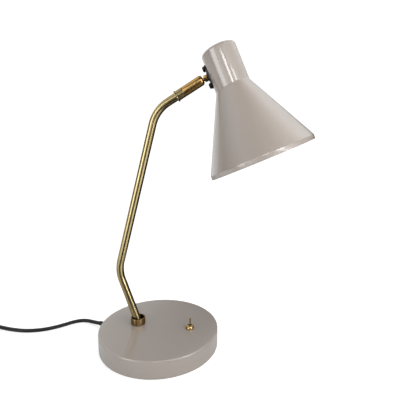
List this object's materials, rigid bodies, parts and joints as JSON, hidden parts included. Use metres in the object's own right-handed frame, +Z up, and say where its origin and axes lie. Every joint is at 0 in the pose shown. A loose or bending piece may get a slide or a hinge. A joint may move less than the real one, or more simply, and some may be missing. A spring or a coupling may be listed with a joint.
{
  "type": "desk lamp",
  "caption": "Desk lamp with a weighted round base, a bent brass stem, a ball joint and a glossy cone shade, a toggle switch on the base and a mains cord.",
  "frame": {"origin": "centre of the round base's underside, on the desk", "axes": "+Z up, +X from the stem towards the switch and the shade, the stem bends in the XZ plane"},
  "size_m": [0.6145, 0.2298, 0.4562],
  "materials": {
    "enamel": "gloss taupe enamel",
    "brass": "antique, brushed along the tube",
    "steel": "zinc plated",
    "pin_metal": "nickel plated",
    "iron": "rough cast",
    "blackened": "black oxide",
    "rubber": "matt black cable sheath",
    "felt": "pressed felt",
    "black_plastic": "moulded",
    "white_plastic": "moulded",
    "opal_glass": "opal"
  },
  "bodies": {
    "stand": {"base_shell": "enamel", "ballast_weight": "iron", "felt_pad": "felt", "bottom_plate": "steel", "plate_post_1": "steel", "plate_post_2": "steel", "plate_post_3": "steel", "stem_collar": "brass", "stem_foot": "steel", "stem_lock_washer": "steel", "stem_lock_nut": "steel", "stem_tube": "brass", "stem_wire": "white_plastic", "switch_body": "black_plastic", "switch_dome_nut": "brass", "switch_wire": "white_plastic", "terminal_block": "white_plastic", "cord_inner_end": "rubber", "sleeve_ferrule": "brass", "socket_barrel": "brass", "seat_spring": "steel", "cord_strain_relief": "rubber", "cord_lead": "rubber", "cord_coil": "rubber", "cord_tail": "rubber", "coil_tie": "black_plastic", "plug_body": "black_plastic", "plug_pin_near": "pin_metal", "plug_pin_far": "pin_metal"},
    "switch_toggle": {"toggle_lever": "brass"},
    "joint_seat": {"ball_seat": "white_plastic"},
    "joint_ball": {"ball_stud": "brass"},
    "head": {"pivot_bracket": "blackened", "bracket_screw_upper": "blackened", "bracket_screw_lower": "blackened", "screw_nut_upper": "steel", "screw_nut_lower": "steel", "stud_nut": "steel", "shade": "enamel", "holder_bracket": "steel", "lampholder": "white_plastic", "holder_ring_nut": "steel", "bulb_cap": "pin_metal", "bulb_glass": "opal_glass", "head_wire": "white_plastic"}
  },
  "joints": [
    {"name": "head_swivel", "type": "hinge", "parent": "stand", "child": "joint_seat", "pos_m": [0.06757, 0, 0.40553], "axis": [0.8669, 0, 0.4985], "range_deg": [-170, 170]},
    {"name": "head_tilt", "type": "hinge", "parent": "joint_seat", "child": "joint_ball", "pos_m": [0.06757, 0, 0.40553], "axis": [0, 1, 0], "range_deg": [-30, 17]},
    {"name": "head_roll", "type": "hinge", "parent": "joint_ball", "child": "head", "pos_m": [0.06757, 0, 0.40553], "axis": [0.9205, 0, 0.3907], "range_deg": [-90, 90]},
    {"name": "toggle_throw", "type": "hinge", "parent": "stand", "child": "switch_toggle", "pos_m": [0.0515, 0, 0.0296], "axis": [1, 0, 0], "range_deg": [0, 24]}
  ]
}
